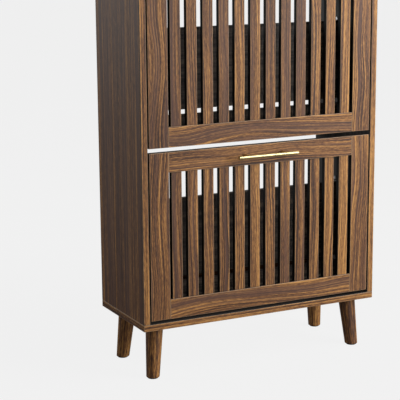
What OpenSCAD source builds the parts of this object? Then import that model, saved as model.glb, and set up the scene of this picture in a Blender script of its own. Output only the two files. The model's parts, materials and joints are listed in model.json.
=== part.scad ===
// Two-tier shoe cabinet: two slatted flip doors in an open-backed case on four splayed legs.
// X runs along the width, Y from front to back, Z up. The origin is on the floor, under the
// centre of the whole outline, handles included.

/* [Case] */
// Width over the side panels
case_w = 600; // [500:10:900]
// Depth of the side panels, front to back
case_d = 240; // [230:5:320]
// Thickness of the side panels, the top and the bottom board
panel_t = 15; // [15:1:18]
// Thickness of the rails across the open back
back_rail_t = 15; // [15:1:18]
// Height of the back rail under the top board
top_rail_h = 70; // [60:5:90]
// Height of the back rail between the two compartments
middle_rail_h = 72; // [60:4:80]
// Height of the back rail on the bottom board
bottom_rail_h = 60; // [60:5:80]

/* [Legs] */
// Height of the underside of the case above the floor
leg_h = 120; // [100:5:200]
// Radius of a leg where it meets the case
leg_top_r = 20; // [18:1:24]
// Radius of a leg at the floor
leg_foot_r = 15; // [13:1:18]
// Distance from the case edges to the leg's centre at the top
leg_top_inset = 45; // [42:1:60]
// Distance from the case edges to the leg's centre at the floor
leg_foot_inset = 35; // [30:1:40]

/* [Doors] */
// Height of each door
door_h = 375; // [360:5:420]
// Thickness of the door frame
door_t = 15; // [15:1:18]
// Gap between a door and each side panel
side_gap = 3; // [2.5:0.5:4]
// Gap between a door and the top or bottom board
edge_gap = 7; // [6:1:10]
// Gap between the two doors
seam_gap = 10; // [8:1:14]
// Width of the upright frame members
stile_w = 47; // [40:1:55]
// Height of the level frame members
rail_h = 45; // [40:1:55]
// Number of slats in each door
slat_count = 12; // [8:1:14]
// Width of a slat
slat_w = 25; // [18:1:28]
// Thickness of a slat
slat_t = 12; // [10:1:12]

/* [Handles] */
// Length of the handle bar
handle_len = 152; // [120:4:220]
// Radius of the handle bar
handle_r = 4; // [3.5:0.5:5]
// Distance from the door's face to the middle of the bar
handle_out = 25; // [22:1:35]
// Distance between the two posts
post_pitch = 96; // [64:32:96]

/* [Trays] */
// Thickness of the tray boards
tray_board_t = 12; // [9:1:12]
// Thickness of the moulded tray sides
tray_side_t = 8; // [8:1:10]
// Distance from the door's face to the front of the tray's back board
tray_back_y = 100; // [90:1:102]
// Height of the tray's back board above the door's lower edge, at its top
tray_back_top = 249; // [230:1:255]
// Height of the same board's lower edge
tray_back_foot = 66; // [60:1:75]
// Angle that a door tips forward
open_angle = 45; // [30:1:45]

/* [Hidden] */
$fn = 64;

// Colours of the finishes
walnut = "#7a5638";
walnut_dark = "#5a3f2d";
black_board = "#2b2624";
black_plastic = "#151515";
brass = "#c9a64b";
steel = "#b8babd";
beech = "#d8bd8d";

// Case, worked out from the sizes above. Depths are measured from the front plane.
handle_reach = handle_out + handle_r;
front_y = (handle_reach - case_d) / 2;
base_z = leg_h;
floor_z = base_z + panel_t;
lower_door_z = floor_z + edge_gap;
upper_door_z = lower_door_z + door_h + seam_gap;
ceiling_z = upper_door_z + door_h + edge_gap;
top_z = ceiling_z + panel_t;
side_h = ceiling_z - floor_z;
inner_w = case_w - 2 * panel_t;
back_rail_y = case_d - back_rail_t;
middle_rail_z = upper_door_z - 39;

// Door
door_w = inner_w - 2 * side_gap;
open_w = door_w - 2 * stile_w;
open_h = door_h - 2 * rail_h;
slat_pitch = open_w / slat_count;
slat_y = door_t - slat_t;
handle_z = door_h - rail_h / 2;

// Tray. The pivot is low and close behind the door, so the door's foot stays inside its gap.
pivot_y = 24;
pivot_z = 60;
pivot_r = 4;
running_gap = 0.05;
groove_r = 80;
groove_start = 85;
groove_depth = tray_side_t - 2;
guide_r = 3;
guide_gap = 0.3;
stop_y = tray_back_y + 30;
stop_z = tray_back_top + 3;
stop_r = 4;
stop_gap = 0.3;
stop_reach = 2;
side_back_y = tray_back_y + tray_board_t + 6;
flange_w = 14;
flange_t = 3;
floor_front_top = 26;
floor_back_top = 57;
floor_front_y = door_t + 1;

// Fasteners
bolt_r = 4;
bolt_in_leg = 32;
bolt_in_case = 12;
insert_r = 5.5;
insert_len = 13;
glide_t = 2.5;
glide_r = leg_foot_r - 3;
glide_nail_r = 1.2;
glide_nail_len = 12;
screw_len = 50;
screw_r = 3.5;
screw_head_r = 5;
screw_head_h = 4;
cam_r = 7.5;
cam_t = 12;
cam_set = 34;
cam_bolt_r = 3;
cam_bolt_bury = 10;
dowel_r = 4;
dowel_len = 28;
dowel_bury = 9;
fit_gap = 0.05;
wall_hole_r = 3;
wall_hole_pitch = 400;
tray_screw_r = 1.75;
tray_screw_head_r = 3.5;
tray_screw_len = 12;
handle_screw_r = 2;
handle_screw_head_r = 3.5;
handle_screw_head_h = 2;
frame_dowel_r = 3;
frame_dowel_len = 30;
tenon_len = 6;
tenon_inset = 3;
eps = 0.01;

// Places that repeat
bolt_ys = [case_d / 2 - 75, case_d / 2 + 75];
top_cam_ys = [50, case_d - 50];
top_dowel_ys = [case_d / 2 - 25, case_d / 2 + 25];
back_rail_zs = [floor_z, middle_rail_z, ceiling_z - top_rail_h];
back_rail_hs = [bottom_rail_h, middle_rail_h, top_rail_h];
rail_fix_offset = 15;
door_zs = [lower_door_z, upper_door_z];
side_signs = [-1, 1];
slat_xs = [for (i = [0:slat_count - 1]) (i + 0.5) * slat_pitch - open_w / 2];
post_xs = [-post_pitch / 2, post_pitch / 2];

// ---- Helpers ----

// Moves a piece drawn from the front plane into the case's place.
module in_case() {
    translate([0, front_y, 0]) children();
}

// A box centred on X, from its lower front edge.
module wide_box(w, d, h) {
    translate([-w / 2, 0, 0]) cube([w, d, h]);
}

// Extrudes a side view, drawn with Y and Z, along X from x0.
module from_side(x0, t) {
    translate([x0, 0, 0]) rotate([90, 0, 90]) linear_extrude(t) children();
}

// A round bar along X, from x0.
module bar_x(r, len, x0 = 0) {
    translate([x0, 0, 0]) rotate([0, 90, 0]) cylinder(r = r, h = len);
}

// A round bar along Y, from y0.
module bar_y(r, len, y0 = 0) {
    translate([0, y0, 0]) rotate([-90, 0, 0]) cylinder(r = r, h = len);
}

// A round bar along X that starts at the inner face of one side panel; s is the side.
// Positive lengths go out into the panel, and negative starts lie inside the case.
module from_panel(s, r, start, len) {
    x0 = inner_w / 2 + start;
    mirror([s < 0 ? 1 : 0, 0, 0]) bar_x(r, len, x0);
}

// A countersunk screw pointing along +Z, its head flush with z = 0.
module flat_head_screw(r, head_r, head_h, len, grow = 0) {
    cylinder(r1 = head_r + grow, r2 = r + grow, h = head_h);
    cylinder(r = r + grow, h = len + grow);
}

// ---- Case ----

// Bores in a side panel for the door pins of both tiers.
module pin_bores(s) {
    for (z = door_zs) {
        translate([0, pivot_y, z + pivot_z]) from_panel(s, pivot_r, -eps, 10);
        translate([0, guide_y(), z + guide_z()]) from_panel(s, guide_r, -eps, 10);
        translate([0, stop_y, z + stop_z]) from_panel(s, stop_r, -eps, 10);
    }
}

// Bores in a side panel for the screws, dowels and cam fittings.
module side_fixing_bores(s) {
    x = s * (case_w - panel_t) / 2;
    for (y = bolt_ys)
        translate([x, y, base_z]) cylinder(r = screw_r + fit_gap, h = screw_len + 1);
    for (y = top_cam_ys) {
        translate([x, y, ceiling_z - cam_set])
            cylinder(r = cam_bolt_r + fit_gap, h = cam_set + eps);
        translate([0, y, ceiling_z - cam_set]) from_panel(s, cam_r + fit_gap, -eps, cam_t + 0.5);
    }
    for (y = top_dowel_ys)
        translate([x, y, ceiling_z - (dowel_len - dowel_bury) - 1])
            cylinder(r = dowel_r, h = dowel_len);
    for (i = [0:len(back_rail_zs) - 1]) {
        mid_z = back_rail_zs[i] + back_rail_hs[i] / 2;
        y = back_rail_y + back_rail_t / 2;
        translate([0, y, mid_z + rail_fix_offset])
            from_panel(s, cam_bolt_r + fit_gap, -eps, cam_bolt_bury + 0.5);
        translate([0, y, mid_z - rail_fix_offset]) from_panel(s, dowel_r, -eps, dowel_bury + 0.5);
    }
}

module side_panel(s) {
    x0 = s < 0 ? -case_w / 2 : inner_w / 2;
    color(walnut_dark) in_case() difference() {
        translate([x0, 0, floor_z]) cube([panel_t, case_d, side_h]);
        pin_bores(s);
        side_fixing_bores(s);
    }
}

module left_side_panel() {
    side_panel(-1);
}

module right_side_panel() {
    side_panel(1);
}

module top_board() {
    color(walnut) in_case() difference() {
        translate([0, 0, ceiling_z]) wide_box(case_w, case_d, panel_t);
        for (s = side_signs) {
            x = s * (case_w - panel_t) / 2;
            for (y = top_cam_ys)
                translate([x, y, ceiling_z - eps])
                    cylinder(r = cam_bolt_r + fit_gap, h = cam_bolt_bury + 0.5);
            for (y = top_dowel_ys)
                translate([x, y, ceiling_z - eps]) cylinder(r = dowel_r, h = dowel_bury + 0.5);
        }
    }
}

module bottom_board() {
    color(walnut) in_case() difference() {
        translate([0, 0, base_z]) wide_box(case_w, case_d, panel_t);
        for (s = side_signs, y = bolt_ys)
            translate([s * (case_w - panel_t) / 2, y, base_z])
                flat_head_screw(screw_r, screw_head_r, screw_head_h, screw_len, fit_gap);
        for (p = leg_tops())
            translate([p[0], p[1], base_z - eps]) cylinder(r = insert_r, h = insert_len + eps);
    }
}

// A rail across the open back, with a cam fitting and a dowel at each end.
module back_rail(i) {
    h = back_rail_hs[i];
    color(walnut_dark) in_case() translate([0, back_rail_y, back_rail_zs[i]]) difference() {
        wide_box(inner_w, back_rail_t, h);
        for (s = side_signs) {
            translate([0, back_rail_t / 2, h / 2 + rail_fix_offset])
                from_panel(s, cam_bolt_r + fit_gap, -cam_set, cam_set + eps);
            translate([s * (inner_w / 2 - cam_set), 0, h / 2 + rail_fix_offset])
                bar_y(cam_r + fit_gap, cam_t + 1, back_rail_t - cam_t - 0.5);
            translate([0, back_rail_t / 2, h / 2 - rail_fix_offset])
                from_panel(s, dowel_r, dowel_bury - dowel_len - 1, dowel_len);
        }
        if (i == 2)
            for (s = side_signs)
                translate([s * wall_hole_pitch / 2, 0, h / 2]) bar_y(wall_hole_r, back_rail_t + 2, -1);
    }
}

module top_back_rail() {
    back_rail(2);
}

module middle_back_rail() {
    back_rail(1);
}

module bottom_back_rail() {
    back_rail(0);
}

// ---- Legs ----

// The four corners as signs along X and Y.
function corners() = [[-1, -1], [1, -1], [-1, 1], [1, 1]];
function leg_point(c, inset) =
    [c[0] * (case_w / 2 - inset), case_d / 2 + c[1] * (case_d / 2 - inset)];
function leg_tops() = [for (c = corners()) leg_point(c, leg_top_inset)];
function leg_feet() = [for (c = corners()) leg_point(c, leg_foot_inset)];

// A round tapered leg that leans out to its corner, cut level at both ends.
module leg(i) {
    foot = leg_feet()[i];
    lean = leg_tops()[i] - foot;
    reach = norm(lean);
    axis_len = norm([reach, leg_h]);
    spare = 0.1;
    taper = leg_top_r - leg_foot_r;
    color(walnut) in_case() difference() {
        intersection() {
            translate([foot[0], foot[1], 0])
                rotate([0, atan2(reach, leg_h), atan2(lean[1], lean[0])])
                    translate([0, 0, -spare * axis_len])
                        cylinder(r1 = leg_foot_r - spare * taper, r2 = leg_top_r + spare * taper,
                                 h = (1 + 2 * spare) * axis_len);
            translate([foot[0] - 100, foot[1] - 100, glide_t]) cube([200, 200, leg_h - glide_t]);
        }
        translate([leg_tops()[i][0], leg_tops()[i][1], leg_h - bolt_in_leg - 1])
            cylinder(r = bolt_r, h = bolt_in_leg + 2);
        translate([foot[0], foot[1], 0]) cylinder(r = glide_nail_r, h = glide_t + glide_nail_len + 1);
    }
}

module front_left_leg() {
    leg(0);
}

module front_right_leg() {
    leg(1);
}

module back_left_leg() {
    leg(2);
}

module back_right_leg() {
    leg(3);
}

module leg_bolts() {
    color(steel) in_case() for (p = leg_tops())
        translate([p[0], p[1], leg_h - bolt_in_leg])
            cylinder(r = bolt_r, h = bolt_in_leg + bolt_in_case);
}

module leg_inserts() {
    color(steel) in_case() for (p = leg_tops())
        translate([p[0], p[1], base_z]) difference() {
            cylinder(r = insert_r, h = insert_len);
            translate([0, 0, -1]) cylinder(r = bolt_r, h = bolt_in_case + 1);
        }
}

module leg_glides() {
    color(black_plastic) in_case() for (p = leg_feet())
        translate([p[0], p[1], 0]) {
            cylinder(r = glide_r, h = glide_t);
            cylinder(r = glide_nail_r, h = glide_t + glide_nail_len);
        }
}

// ---- Case fasteners ----

module base_screws() {
    color(steel) in_case() for (s = side_signs, y = bolt_ys)
        translate([s * (case_w - panel_t) / 2, y, base_z])
            flat_head_screw(screw_r, screw_head_r, screw_head_h, screw_len);
}

module cam_bolts() {
    color(steel) in_case() for (s = side_signs) {
        for (y = top_cam_ys)
            translate([s * (case_w - panel_t) / 2, y, ceiling_z - cam_set + cam_r])
                cylinder(r = cam_bolt_r, h = cam_set - cam_r + cam_bolt_bury);
        for (i = [0:len(back_rail_zs) - 1])
            translate([0, back_rail_y + back_rail_t / 2,
                       back_rail_zs[i] + back_rail_hs[i] / 2 + rail_fix_offset])
                from_panel(s, cam_bolt_r, cam_r - cam_set, cam_set - cam_r + cam_bolt_bury);
    }
}

// A round cam with a cross recess, its open face at y = 0 and its body towards +Y.
module cam_lock() {
    difference() {
        bar_y(cam_r, cam_t);
        for (turn = [0, 90])
            rotate([0, turn, 0]) translate([-4, -1, -0.6]) cube([8, 3, 1.2]);
    }
}

module cam_locks() {
    color(steel) in_case() for (s = side_signs) {
        for (y = top_cam_ys)
            translate([s * inner_w / 2, y, ceiling_z - cam_set])
                rotate([0, 0, -s * 90]) cam_lock();
        for (i = [0:len(back_rail_zs) - 1])
            translate([s * (inner_w / 2 - cam_set), case_d,
                       back_rail_zs[i] + back_rail_hs[i] / 2 + rail_fix_offset])
                rotate([0, 0, 180]) cam_lock();
    }
}

module case_dowels() {
    color(beech) in_case() for (s = side_signs) {
        for (y = top_dowel_ys)
            translate([s * (case_w - panel_t) / 2, y, ceiling_z + dowel_bury - dowel_len])
                cylinder(r = dowel_r, h = dowel_len);
        for (i = [0:len(back_rail_zs) - 1])
            translate([0, back_rail_y + back_rail_t / 2,
                       back_rail_zs[i] + back_rail_hs[i] / 2 - rail_fix_offset])
                from_panel(s, dowel_r, dowel_bury - dowel_len, dowel_len);
    }
}

// ---- Door pins, fixed in the side panels ----

function guide_y() = pivot_y + groove_r * cos(groove_start);
function guide_z() = pivot_z + groove_r * sin(groove_start);

// The pins that the doors turn on. A collar keeps each door clear of the panel.
module pivot_pins() {
    color(steel) in_case() for (s = side_signs, z = door_zs)
        translate([0, pivot_y, z + pivot_z]) {
            from_panel(s, pivot_r, -side_gap - tray_side_t, side_gap + tray_side_t + 9.5);
            from_panel(s, pivot_r + 3, -side_gap + 0.3, side_gap - 0.3);
        }
}

// The pins that run in the grooves of the tray sides and stop the doors when open.
module guide_pins() {
    reach = side_gap + groove_depth - 0.5;
    color(steel) in_case() for (s = side_signs, z = door_zs)
        translate([0, guide_y(), z + guide_z()]) from_panel(s, guide_r, -reach, reach + 9.5);
}

// The pins that the tray sides close against.
module stop_pins() {
    reach = side_gap + tray_side_t + stop_reach;
    color(steel) in_case() for (s = side_signs, z = door_zs)
        translate([0, stop_y, z + stop_z]) from_panel(s, stop_r, -reach, reach + 9.5);
}

// ---- Doors: every module draws one tier, given the height of the door's lower edge ----

module at_door(z) {
    in_case() translate([0, 0, z]) children();
}

// The two dowels of each frame corner, as bars that cross the joint.
module corner_dowels(grow = 0) {
    for (s = side_signs, v = [-1, 1])
        for (edge = [rail_h / 2, door_h - rail_h / 2])
            translate([s * open_w / 2 - frame_dowel_len / 2 - grow, door_t / 2,
                       edge + v * rail_h / 4])
                bar_x(frame_dowel_r, frame_dowel_len + 2 * grow);
}

module stile(s, z) {
    x0 = s < 0 ? -door_w / 2 : open_w / 2;
    color(walnut) at_door(z) difference() {
        translate([x0, 0, 0]) cube([stile_w, door_t, door_h]);
        corner_dowels(0.5);
        tray_door_screws(s, 0.5);
    }
}

// A rail of the door frame with a mortise for each slat; up is 1 when the slats stand on it.
module frame_rail(z0, up) {
    difference() {
        translate([0, 0, z0]) wide_box(open_w, door_t, rail_h);
        corner_dowels(0.5);
        for (x = slat_xs)
            translate([x - slat_w / 2 + tenon_inset, slat_y + tenon_inset,
                       up == 1 ? z0 + rail_h - tenon_len : z0 - eps])
                cube([slat_w - 2 * tenon_inset, slat_t - 2 * tenon_inset, tenon_len + eps]);
        if (up == 0)
            for (x = post_xs)
                translate([x, 0, handle_z]) {
                    bar_y(handle_screw_r + fit_gap, door_t + 2, -1);
                    bar_y(handle_screw_head_r + fit_gap, handle_screw_head_h + 1,
                          door_t - handle_screw_head_h);
                }
    }
}

module top_rail(z) {
    color(walnut) at_door(z) frame_rail(door_h - rail_h, 0);
}

module bottom_rail(z) {
    color(walnut) at_door(z) frame_rail(0, 1);
}

module slats(z) {
    color(walnut) at_door(z) for (x = slat_xs) {
        translate([x - slat_w / 2, slat_y, rail_h]) cube([slat_w, slat_t, open_h]);
        translate([x - slat_w / 2 + tenon_inset, slat_y + tenon_inset, rail_h - tenon_len])
            cube([slat_w - 2 * tenon_inset, slat_t - 2 * tenon_inset, open_h + 2 * tenon_len]);
    }
}

module frame_dowels(z) {
    color(beech) at_door(z) corner_dowels();
}

// ---- Handles ----

module handle_bar(z) {
    color(brass) at_door(z) translate([0, -handle_out, handle_z])
        bar_x(handle_r, handle_len, -handle_len / 2);
}

// Round posts from the door's face to the bar, hollowed to meet the bar and bored for a screw.
module handle_posts(z) {
    color(brass) at_door(z) for (x = post_xs)
        translate([x, 0, handle_z]) difference() {
            bar_y(handle_r, handle_out, -handle_out);
            translate([-handle_r - 1, -handle_out, 0]) bar_x(handle_r, 2 * handle_r + 2);
            bar_y(handle_screw_r, 14, -13);
        }
}

module handle_screws(z) {
    color(steel) at_door(z) for (x = post_xs)
        translate([x, 0, handle_z]) {
            bar_y(handle_screw_r, door_t + 11, -12);
            bar_y(handle_screw_head_r, handle_screw_head_h, door_t - handle_screw_head_h);
        }
}

// ---- Trays ----

function on_circle(r, a) = [pivot_y + r * cos(a), pivot_z + r * sin(a)];

// The radial edge of a tray side that closes against its stop pin.
stop_dist = norm([stop_y - pivot_y, stop_z - pivot_z]);
stop_edge = atan2(stop_z - pivot_z, stop_y - pivot_y) + asin((stop_r + stop_gap) / stop_dist);
stop_edge_foot_z = pivot_z + (side_back_y - pivot_y) * tan(stop_edge);

// Side view of a tray side.
module side_outline() {
    polygon([
        [door_t, 8],
        [door_t + 18, 8],
        [side_back_y - 6, floor_back_top - tray_board_t - 8],
        [side_back_y, floor_back_top - 8],
        [side_back_y, stop_edge_foot_z],
        on_circle(stop_dist + 12, stop_edge),
        on_circle(stop_dist + 17, stop_edge + 2),
        [door_t + 20, stop_z + 38],
        [door_t, stop_z + 38]
    ]);
}

// Side view of the groove that the guide pin runs in.
module groove_outline() {
    half = guide_r + guide_gap;
    far = 2 * groove_r;
    stops = [groove_start, groove_start - open_angle];
    intersection() {
        translate([pivot_y, pivot_z]) difference() {
            circle(r = groove_r + half);
            circle(r = groove_r - half);
        }
        polygon([[pivot_y, pivot_z], on_circle(far, stops[0]), on_circle(far, stops[1])]);
    }
    for (a = stops)
        translate(on_circle(groove_r, a)) circle(r = half);
}

// Heights of the screws that hold a tray side to the door, and places of those in the boards.
flange_screw_zs = [22, 110, 190, 275];
board_screw_yzs = [
    [floor_front_y + 18, floor_front_top + 0.5],
    [tray_back_y - 18, floor_back_top - 12.5],
    [tray_back_y + tray_board_t / 2, tray_back_foot + 20],
    [tray_back_y + tray_board_t / 2, tray_back_top - 20]
];

// Screws through the flange of one tray side into the stile in front of it.
module tray_door_screws(s, grow = 0) {
    x = s * (door_w / 2 - tray_side_t - flange_w / 2);
    for (z = flange_screw_zs)
        translate([x, door_t + flange_t, z]) rotate([90, 0, 0])
            flat_head_screw(tray_screw_r, tray_screw_head_r, 2, tray_screw_len + grow);
}

// Screws through one tray side into the ends of the two boards.
module tray_end_screws(s, grow = 0) {
    for (p = board_screw_yzs)
        translate([s * door_w / 2, p[0], p[1]]) rotate([0, -s * 90, 0])
            flat_head_screw(tray_screw_r, tray_screw_head_r, 2, tray_side_t + 12 + grow);
}

module tray_side(s, z) {
    inner_x = door_w / 2 - tray_side_t;
    x_plate = s < 0 ? -door_w / 2 : inner_x;
    x_groove = s < 0 ? -door_w / 2 - eps : door_w / 2 - groove_depth;
    x_flange = s < 0 ? -inner_x : inner_x - flange_w;
    color(black_plastic) at_door(z) difference() {
        union() {
            from_side(x_plate, tray_side_t) side_outline();
            translate([x_flange, door_t, 14]) cube([flange_w, flange_t, stop_z + 18]);
        }
        from_side(x_groove, groove_depth + eps) groove_outline();
        translate([x_plate - 1, pivot_y, pivot_z])
            bar_x(pivot_r + running_gap, tray_side_t + 2);
        tray_door_screws(s);
        tray_end_screws(s);
    }
}

// The tray's floor climbs from behind the bottom rail to the foot of the back board.
module tray_floor(z) {
    w = door_w - 2 * tray_side_t;
    slope = atan2(floor_back_top - floor_front_top, tray_back_y - floor_front_y);
    drop = tray_board_t / cos(slope);
    flange_back_y = door_t + flange_t;
    color(black_board) at_door(z) difference() {
        from_side(-w / 2, w) polygon([
            [floor_front_y, floor_front_top],
            [floor_front_y, floor_front_top - drop],
            [tray_back_y + tray_board_t * sin(slope), floor_back_top - tray_board_t * cos(slope)],
            [tray_back_y, floor_back_top]
        ]);
        for (s = side_signs) {
            translate([s * (w - flange_w) / 2 - flange_w / 2 - 1, door_t, 0])
                cube([flange_w + 2, flange_back_y + 1 - door_t, door_h]);
            tray_end_screws(s, 0.5);
        }
    }
}

module tray_back(z) {
    w = door_w - 2 * tray_side_t;
    color(black_board) at_door(z) difference() {
        translate([0, tray_back_y, tray_back_foot])
            wide_box(w, tray_board_t, tray_back_top - tray_back_foot);
        for (s = side_signs)
            tray_end_screws(s, 0.5);
    }
}

module tray_screws(z) {
    color(steel) at_door(z) for (s = side_signs) {
        tray_door_screws(s);
        tray_end_screws(s);
    }
}

// ---- Drawing ----

left_side_panel();
right_side_panel();
top_board();
bottom_board();
top_back_rail();
middle_back_rail();
bottom_back_rail();
front_left_leg();
front_right_leg();
back_left_leg();
back_right_leg();
leg_bolts();
leg_inserts();
leg_glides();
base_screws();
cam_bolts();
cam_locks();
case_dowels();
pivot_pins();
guide_pins();
stop_pins();
stile(-1, upper_door_z);  // upper_left_stile
stile(1, upper_door_z);  // upper_right_stile
top_rail(upper_door_z);  // upper_top_rail
bottom_rail(upper_door_z);  // upper_bottom_rail
slats(upper_door_z);  // upper_slats
frame_dowels(upper_door_z);  // upper_frame_dowels
handle_bar(upper_door_z);  // upper_handle_bar
handle_posts(upper_door_z);  // upper_handle_posts
handle_screws(upper_door_z);  // upper_handle_screws
tray_side(-1, upper_door_z);  // upper_tray_left_side
tray_side(1, upper_door_z);  // upper_tray_right_side
tray_floor(upper_door_z);  // upper_tray_floor
tray_back(upper_door_z);  // upper_tray_back
tray_screws(upper_door_z);  // upper_tray_screws
stile(-1, lower_door_z);  // lower_left_stile
stile(1, lower_door_z);  // lower_right_stile
top_rail(lower_door_z);  // lower_top_rail
bottom_rail(lower_door_z);  // lower_bottom_rail
slats(lower_door_z);  // lower_slats
frame_dowels(lower_door_z);  // lower_frame_dowels
handle_bar(lower_door_z);  // lower_handle_bar
handle_posts(lower_door_z);  // lower_handle_posts
handle_screws(lower_door_z);  // lower_handle_screws
tray_side(-1, lower_door_z);  // lower_tray_left_side
tray_side(1, lower_door_z);  // lower_tray_right_side
tray_floor(lower_door_z);  // lower_tray_floor
tray_back(lower_door_z);  // lower_tray_back
tray_screws(lower_door_z);  // lower_tray_screws
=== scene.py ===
"""Finished pieces and surfaces for a two-tier shoe cabinet with slatted flip doors.

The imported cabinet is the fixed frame. Boards are copies of their own nodes with eased edges.
Slats, handle posts, screws, cams, pins and glides are set out by Geometry Nodes at their nodes'
own places.
Lengths are in metres.
"""
import json
import math

import bmesh
import bpy
from bpy.props import FloatProperty, FloatVectorProperty, IntProperty, PointerProperty
from mathutils import Matrix, Vector


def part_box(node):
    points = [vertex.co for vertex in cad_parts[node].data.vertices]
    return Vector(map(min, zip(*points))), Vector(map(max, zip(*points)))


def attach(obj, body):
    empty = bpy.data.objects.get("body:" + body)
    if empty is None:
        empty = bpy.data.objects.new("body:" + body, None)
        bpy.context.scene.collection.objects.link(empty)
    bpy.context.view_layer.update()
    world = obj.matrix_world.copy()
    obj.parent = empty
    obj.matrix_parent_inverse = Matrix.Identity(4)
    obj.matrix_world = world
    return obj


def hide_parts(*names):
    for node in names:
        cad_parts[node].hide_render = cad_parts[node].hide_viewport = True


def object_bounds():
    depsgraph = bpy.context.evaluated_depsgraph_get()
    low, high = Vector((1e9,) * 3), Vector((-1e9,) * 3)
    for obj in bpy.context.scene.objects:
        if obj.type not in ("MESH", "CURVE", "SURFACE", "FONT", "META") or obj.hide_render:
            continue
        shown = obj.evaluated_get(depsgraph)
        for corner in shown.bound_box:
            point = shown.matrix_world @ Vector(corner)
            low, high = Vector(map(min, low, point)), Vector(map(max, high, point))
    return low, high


bl_info = {
    "name": "Shoe Cabinet Finishes",
    "version": (1, 0, 0),
    "blender": (4, 5, 0),
    "location": "View3D > Sidebar > Cabinet",
    "description": (
        "Finished boards, slats, handles, trays and fittings for a flip-door shoe cabinet"),
    "category": "Object",
}

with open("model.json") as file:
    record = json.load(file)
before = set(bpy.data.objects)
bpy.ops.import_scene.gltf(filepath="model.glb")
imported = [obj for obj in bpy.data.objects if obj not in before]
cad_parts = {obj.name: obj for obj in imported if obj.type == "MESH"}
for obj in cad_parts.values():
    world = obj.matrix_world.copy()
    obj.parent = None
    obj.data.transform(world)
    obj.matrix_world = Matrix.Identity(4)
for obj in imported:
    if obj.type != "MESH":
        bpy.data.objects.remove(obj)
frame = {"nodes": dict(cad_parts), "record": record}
CAD_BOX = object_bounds()
CAD_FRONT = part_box("left_side_panel")[0].y
NODES = frame["nodes"]
BODIES = frame["record"]["behaviour"]["bodies"]
BODY_OF = {node: body for body, nodes in BODIES.items() for node in nodes}
TIERS = ("upper", "lower")
SIDES = ("left", "right")

X, Y, Z = 0, 1, 2
ORIGIN = (0.0, 0.0, 0.0)
MM = 0.001
# Corners closer than WELD are one corner. Faces that meet at less than FLAT are one face.
WELD = 1e-5
FLAT = math.radians(0.5)
# Shares of a face's normal along an axis above which the face looks that way.
FACE_ON = 0.35
SQUARE_ON = 0.6


# ---- Settings ----

def colour_setting(name, description, default):
    """A colour setting."""
    return FloatVectorProperty(
        name=name, description=description, default=default, subtype="COLOR", size=3)


class BoardSettings(bpy.types.PropertyGroup):
    """Edges and colours of the boards."""

    edge_radius: FloatProperty(
        name="Edge radius", description="Rounding of a board's long edges",
        default=1.1 * MM, min=0.2 * MM, max=2 * MM, unit="LENGTH")
    edge_steps: IntProperty(
        name="Edge steps", description="Faces across a rounded edge", default=3, min=1, max=6)
    brown: colour_setting("Walnut brown", "Middle tone of the walnut", (0.205, 0.082, 0.024))
    honey: colour_setting("Walnut honey", "Light streaks of the walnut", (0.600, 0.290, 0.078))
    umber: colour_setting("Walnut umber", "Dark streaks of the walnut", (0.042, 0.015, 0.007))
    mauve: colour_setting("Walnut mauve", "Greyish bands of the walnut", (0.112, 0.052, 0.036))
    # straw is the colour of a painted highlight on the rounded edges, where light would catch
    # them.
    straw: colour_setting("Walnut straw", "Rubbed edges of the walnut", (0.560, 0.380, 0.230))
    charcoal: colour_setting(
        "Charcoal", "Dark foil inside the case and on the trays", (0.030, 0.027, 0.025))


class SlatSettings(bpy.types.PropertyGroup):
    """How the slats differ from each other."""

    tone_spread: FloatProperty(
        name="Tone spread", description="How much the slats' tones differ",
        default=1.0, min=0, max=2, subtype="FACTOR")


class HandleSettings(bpy.types.PropertyGroup):
    """The bar handles."""

    end_chamfer: FloatProperty(
        name="End chamfer", description="Chamfer at each end of the bar",
        default=0.7 * MM, min=0.2 * MM, max=2 * MM, unit="LENGTH")
    brass: colour_setting("Brass", "Colour of the brushed brass", (0.64, 0.53, 0.27))


class FittingSettings(bpy.types.PropertyGroup):
    """Screws, cams, pins and legs."""

    recess_share: FloatProperty(
        name="Recess", description="Length of a cross recess as a share of the head",
        default=0.62, min=0.3, max=0.8, subtype="FACTOR")
    seed: IntProperty(
        name="Turn seed", description="Seed of the screws' random turns", default=7, min=0)
    foot_round: FloatProperty(
        name="Foot rounding", description="Rounding at the foot of a leg",
        default=1.2 * MM, min=0.5 * MM, max=4 * MM, unit="LENGTH")
    steel: colour_setting("Steel", "Colour of the zinc plated steel", (0.62, 0.62, 0.63))


class StageSettings(bpy.types.PropertyGroup):
    """Floor, light and camera."""

    floor_size: FloatProperty(
        name="Floor", description="Radius of the floor", default=60.0, min=5, unit="LENGTH")
    pale: FloatProperty(
        name="Pale", description="Brightness of the floor and the backdrop",
        default=0.885, min=0, max=1, subtype="FACTOR")
    fill: FloatProperty(
        name="Fill", description="Strength of the light from all round", default=0.17, min=0)
    key: FloatProperty(
        name="Key", description="Power of the main light in watts", default=46.0, min=0)
    sheen: FloatProperty(
        name="Sheen light", description="Power of the light that the doors reflect, in watts",
        default=48.0, min=0)
    side: FloatProperty(
        name="Side light", description="Power of the weak light from the left, in watts",
        default=22.0, min=0)
    camera_place: FloatVectorProperty(
        name="Camera", description="Place of the camera", default=(-1.441, -2.655, 0.990),
        subtype="TRANSLATION", size=3)
    heading: FloatProperty(
        name="Heading", description="Turn of the camera towards +X",
        default=math.radians(26.67), subtype="ANGLE")
    dip: FloatProperty(
        name="Dip", description="Angle at which the camera looks down",
        default=math.radians(11.6), subtype="ANGLE")
    roll: FloatProperty(
        name="Roll", description="Turn of the camera about its own axis",
        default=math.radians(-0.45), subtype="ANGLE")
    lens: FloatProperty(
        name="Lens", description="Focal length in millimetres, on a 36 mm sensor",
        default=118.9, min=10)


class CabinetSettings(bpy.types.PropertyGroup):
    """Everything a user would change on the cabinet."""

    boards: PointerProperty(type=BoardSettings)
    slats: PointerProperty(type=SlatSettings)
    handles: PointerProperty(type=HandleSettings)
    fittings: PointerProperty(type=FittingSettings)
    stage: PointerProperty(type=StageSettings)


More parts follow.
